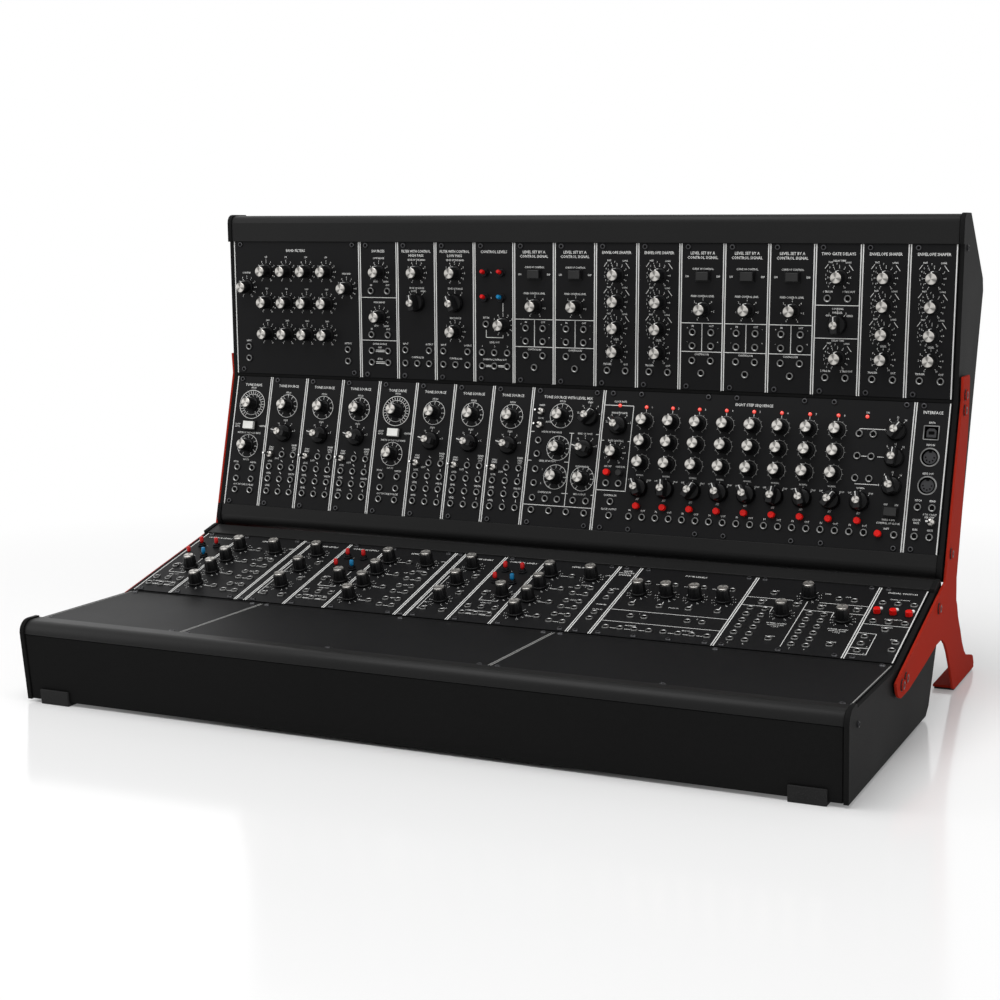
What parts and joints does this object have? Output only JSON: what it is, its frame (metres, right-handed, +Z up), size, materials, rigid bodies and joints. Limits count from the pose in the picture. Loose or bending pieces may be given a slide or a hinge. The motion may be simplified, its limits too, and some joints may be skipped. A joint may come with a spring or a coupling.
{
  "type": "modular synthesizer",
  "caption": "Large desktop modular synthesizer: a flat lower case and a steep upper case joined by red side brackets, with panels of knobs, switches, buttons and sockets.",
  "frame": {"origin": "centre of the footprint, on the table top", "axes": "+X along the rows to the player's right, +Y to the back, +Z up"},
  "size_m": [0.7312, 0.4542, 0.4133],
  "materials": {
    "black_case": "fine textured black powder coat",
    "black_panel": "matte black with white print",
    "red_steel": "satin red powder coat",
    "black_rubber": "matte",
    "black_housing": "matte black",
    "black_knob": "fluted black with a spun silver cap",
    "red_plastic": "glossy red",
    "blue_plastic": "glossy blue",
    "white_plastic": "glossy white",
    "silver_metal": "polished"
  },
  "bodies": {
    "synthesizer": {"lower_case_tray": "black_case", "lower_front_bar": "black_case", "lower_middle_rail": "black_case", "lower_rear_bar": "black_case", "lower_left_cheek": "black_case", "lower_right_cheek": "black_case", "lower_power_supply": "black_housing", "upper_case_tray": "black_case", "upper_front_bar": "black_case", "upper_middle_rail": "black_case", "upper_rear_bar": "black_case", "upper_left_cheek": "black_case", "upper_right_cheek": "black_case", "upper_power_supply": "black_housing", "left_bracket": "red_steel", "right_bracket": "red_steel", "left_bracket_pad": "black_rubber", "right_bracket_pad": "black_rubber", "front_left_foot": "black_rubber", "front_right_foot": "black_rubber", "rear_left_foot": "black_rubber", "rear_right_foot": "black_rubber", "blank_panel_left": "black_panel", "blank_panel_middle": "black_panel", "blank_panel_right": "black_panel", "filter_bank_module": "black_panel", "top_row_modules": "black_panel", "oscillator_modules": "black_panel", "sequencer_module": "black_panel", "midi_module": "black_panel", "lower_row_modules": "black_panel"},
    "low_pass_cutoff_knob": {"low_pass_cutoff_knob": "black_knob"},
    "low_pass_range_switch": {"low_pass_range_switch": "black_knob"},
    "low_pass_resonance_knob": {"low_pass_resonance_knob": "black_knob"},
    "amplifier_response_rocker": {"amplifier_response_rocker": "black_knob"},
    "amplifier_gain_knob": {"amplifier_gain_knob": "black_knob"},
    "envelope_attack_knob": {"envelope_attack_knob": "black_knob"},
    "envelope_decay_knob": {"envelope_decay_knob": "black_knob"},
    "envelope_sustain_knob": {"envelope_sustain_knob": "black_knob"},
    "envelope_release_knob": {"envelope_release_knob": "black_knob"},
    "driver_tuning_knob": {"driver_tuning_knob": "black_knob"},
    "driver_mode_rocker": {"driver_mode_rocker": "white_plastic"},
    "driver_width_knob": {"driver_width_knob": "black_knob"},
    "oscillator_tuning_knob": {"oscillator_tuning_knob": "black_knob"},
    "oscillator_range_switch": {"oscillator_range_switch": "black_knob"},
    "oscillator_sync_toggle": {"oscillator_sync_toggle": "silver_metal"},
    "step_1_upper_knob": {"step_1_upper_knob": "black_knob"},
    "step_1_middle_knob": {"step_1_middle_knob": "black_knob"},
    "step_1_lower_knob": {"step_1_lower_knob": "black_knob"},
    "step_1_mode_switch": {"step_1_mode_switch": "black_knob"},
    "step_1_button": {"step_1_button": "red_plastic"},
    "control_level_knob": {"control_level_knob": "black_knob"},
    "control_red_toggle": {"control_red_toggle": "red_plastic"},
    "control_blue_toggle": {"control_blue_toggle": "blue_plastic"},
    "mixer_channel_1_knob": {"mixer_channel_1_knob": "black_knob"},
    "mixer_channel_2_knob": {"mixer_channel_2_knob": "black_knob"},
    "mixer_channel_3_knob": {"mixer_channel_3_knob": "black_knob"},
    "mixer_channel_4_knob": {"mixer_channel_4_knob": "black_knob"},
    "switch_button_1": {"switch_button_1": "red_plastic"},
    "switch_button_2": {"switch_button_2": "red_plastic"}
  },
  "joints": [
    {"name": "low_pass_cutoff_knob_turn", "type": "hinge", "parent": "synthesizer", "child": "low_pass_cutoff_knob", "pos_m": [-0.11176, 0.11195, 0.35906], "axis": [0, -1, 0], "range_deg": [-150, 150]},
    {"name": "low_pass_range_switch_turn", "type": "hinge", "parent": "synthesizer", "child": "low_pass_range_switch", "pos_m": [-0.11176, 0.11195, 0.3313], "axis": [0, -1, 0], "range_deg": [-150, 0]},
    {"name": "low_pass_resonance_knob_turn", "type": "hinge", "parent": "synthesizer", "child": "low_pass_resonance_knob", "pos_m": [-0.11176, 0.11195, 0.30483], "axis": [0, -1, 0], "range_deg": [-150, 150]},
    {"name": "amplifier_response_rocker_rock", "type": "hinge", "parent": "synthesizer", "child": "amplifier_response_rocker", "pos_m": [-0.02997, 0.11195, 0.35906], "axis": [0, 0, -1], "range_deg": [0, 16]},
    {"name": "amplifier_gain_knob_turn", "type": "hinge", "parent": "synthesizer", "child": "amplifier_gain_knob", "pos_m": [-0.02946, 0.11195, 0.32988], "axis": [0, -1, 0], "range_deg": [-150, 150]},
    {"name": "envelope_attack_knob_turn", "type": "hinge", "parent": "synthesizer", "child": "envelope_attack_knob", "pos_m": [0.05131, 0.11195, 0.35906], "axis": [0, -1, 0], "range_deg": [-150, 150]},
    {"name": "envelope_decay_knob_turn", "type": "hinge", "parent": "synthesizer", "child": "envelope_decay_knob", "pos_m": [0.05131, 0.11195, 0.33528], "axis": [0, -1, 0], "range_deg": [-150, 150]},
    {"name": "envelope_sustain_knob_turn", "type": "hinge", "parent": "synthesizer", "child": "envelope_sustain_knob", "pos_m": [0.05131, 0.11195, 0.31164], "axis": [0, -1, 0], "range_deg": [-150, 150]},
    {"name": "envelope_release_knob_turn", "type": "hinge", "parent": "synthesizer", "child": "envelope_release_knob", "pos_m": [0.05131, 0.11195, 0.29056], "axis": [0, -1, 0], "range_deg": [-150, 150]},
    {"name": "driver_tuning_knob_turn", "type": "hinge", "parent": "synthesizer", "child": "driver_tuning_knob", "pos_m": [-0.33477, 0.10515, 0.22823], "axis": [0, -0.9659, 0.2588], "range_deg": [-150, 150]},
    {"name": "driver_mode_rocker_rock", "type": "hinge", "parent": "synthesizer", "child": "driver_mode_rocker", "pos_m": [-0.33426, 0.09962, 0.20763], "axis": [0, -0.2588, -0.9659], "range_deg": [0, 16]},
    {"name": "driver_width_knob_turn", "type": "hinge", "parent": "synthesizer", "child": "driver_width_knob", "pos_m": [-0.33477, 0.09437, 0.18801], "axis": [0, -0.9659, 0.2588], "range_deg": [-150, 150]},
    {"name": "oscillator_tuning_knob_turn", "type": "hinge", "parent": "synthesizer", "child": "oscillator_tuning_knob", "pos_m": [-0.29413, 0.10515, 0.22823], "axis": [0, -0.9659, 0.2588], "range_deg": [-150, 150]},
    {"name": "oscillator_range_switch_turn", "type": "hinge", "parent": "synthesizer", "child": "oscillator_range_switch", "pos_m": [-0.29413, 0.09809, 0.20192], "axis": [0, -0.9659, 0.2588], "range_deg": [-150, 0]},
    {"name": "oscillator_sync_toggle_flip", "type": "hinge", "parent": "synthesizer", "child": "oscillator_sync_toggle", "pos_m": [-0.30683, 0.09173, 0.18127], "axis": [0, 0.2588, 0.9659], "range_deg": [0, 24]},
    {"name": "step_1_upper_knob_turn", "type": "hinge", "parent": "synthesizer", "child": "step_1_upper_knob", "pos_m": [0.08255, 0.10544, 0.22935], "axis": [0, -0.9659, 0.2588], "range_deg": [-150, 150]},
    {"name": "step_1_middle_knob_turn", "type": "hinge", "parent": "synthesizer", "child": "step_1_middle_knob", "pos_m": [0.08255, 0.10052, 0.21098], "axis": [0, -0.9659, 0.2588], "range_deg": [-150, 150]},
    {"name": "step_1_lower_knob_turn", "type": "hinge", "parent": "synthesizer", "child": "step_1_lower_knob", "pos_m": [0.08255, 0.09557, 0.19248], "axis": [0, -0.9659, 0.2588], "range_deg": [-150, 150]},
    {"name": "step_1_mode_switch_turn", "type": "hinge", "parent": "synthesizer", "child": "step_1_mode_switch", "pos_m": [0.08255, 0.08971, 0.17064], "axis": [0, -0.9659, 0.2588], "range_deg": [-150, 0]},
    {"name": "step_1_button_press", "type": "slide", "parent": "synthesizer", "child": "step_1_button", "axis": [0, 0.9659, -0.2588], "range_m": [0, 0.0015], "stiffness_N_per_m": 200},
    {"name": "control_level_knob_turn", "type": "hinge", "parent": "synthesizer", "child": "control_level_knob", "pos_m": [-0.32614, -0.02192, 0.08562], "axis": [0, -0.2588, 0.9659], "range_deg": [-150, 150]},
    {"name": "control_red_toggle_flip", "type": "hinge", "parent": "synthesizer", "child": "control_red_toggle", "pos_m": [-0.34442, 0.02392, 0.09873], "axis": [1, 0, 0], "range_deg": [0, 24]},
    {"name": "control_blue_toggle_flip", "type": "hinge", "parent": "synthesizer", "child": "control_blue_toggle", "pos_m": [-0.32766, 0.00183, 0.09281], "axis": [1, 0, 0], "range_deg": [0, 24]},
    {"name": "mixer_channel_1_knob_turn", "type": "hinge", "parent": "synthesizer", "child": "mixer_channel_1_knob", "pos_m": [-0.29972, 0.02338, 0.09776], "axis": [0, -0.2588, 0.9659], "range_deg": [-150, 150]},
    {"name": "mixer_channel_2_knob_turn", "type": "hinge", "parent": "synthesizer", "child": "mixer_channel_2_knob", "pos_m": [-0.29972, -0.00057, 0.09134], "axis": [0, -0.2588, 0.9659], "range_deg": [-150, 150]},
    {"name": "mixer_channel_3_knob_turn", "type": "hinge", "parent": "synthesizer", "child": "mixer_channel_3_knob", "pos_m": [-0.29972, -0.02564, 0.08462], "axis": [0, -0.2588, 0.9659], "range_deg": [-150, 150]},
    {"name": "mixer_channel_4_knob_turn", "type": "hinge", "parent": "synthesizer", "child": "mixer_channel_4_knob", "pos_m": [-0.29972, -0.05221, 0.0775], "axis": [0, -0.2588, 0.9659], "range_deg": [-150, 150]},
    {"name": "switch_button_1_press", "type": "slide", "parent": "synthesizer", "child": "switch_button_1", "axis": [0, 0.2588, -0.9659], "range_m": [0, 0.0015], "stiffness_N_per_m": 200},
    {"name": "switch_button_2_press", "type": "slide", "parent": "synthesizer", "child": "switch_button_2", "axis": [0, 0.2588, -0.9659], "range_m": [0, 0.0015], "stiffness_N_per_m": 200}
  ]
}
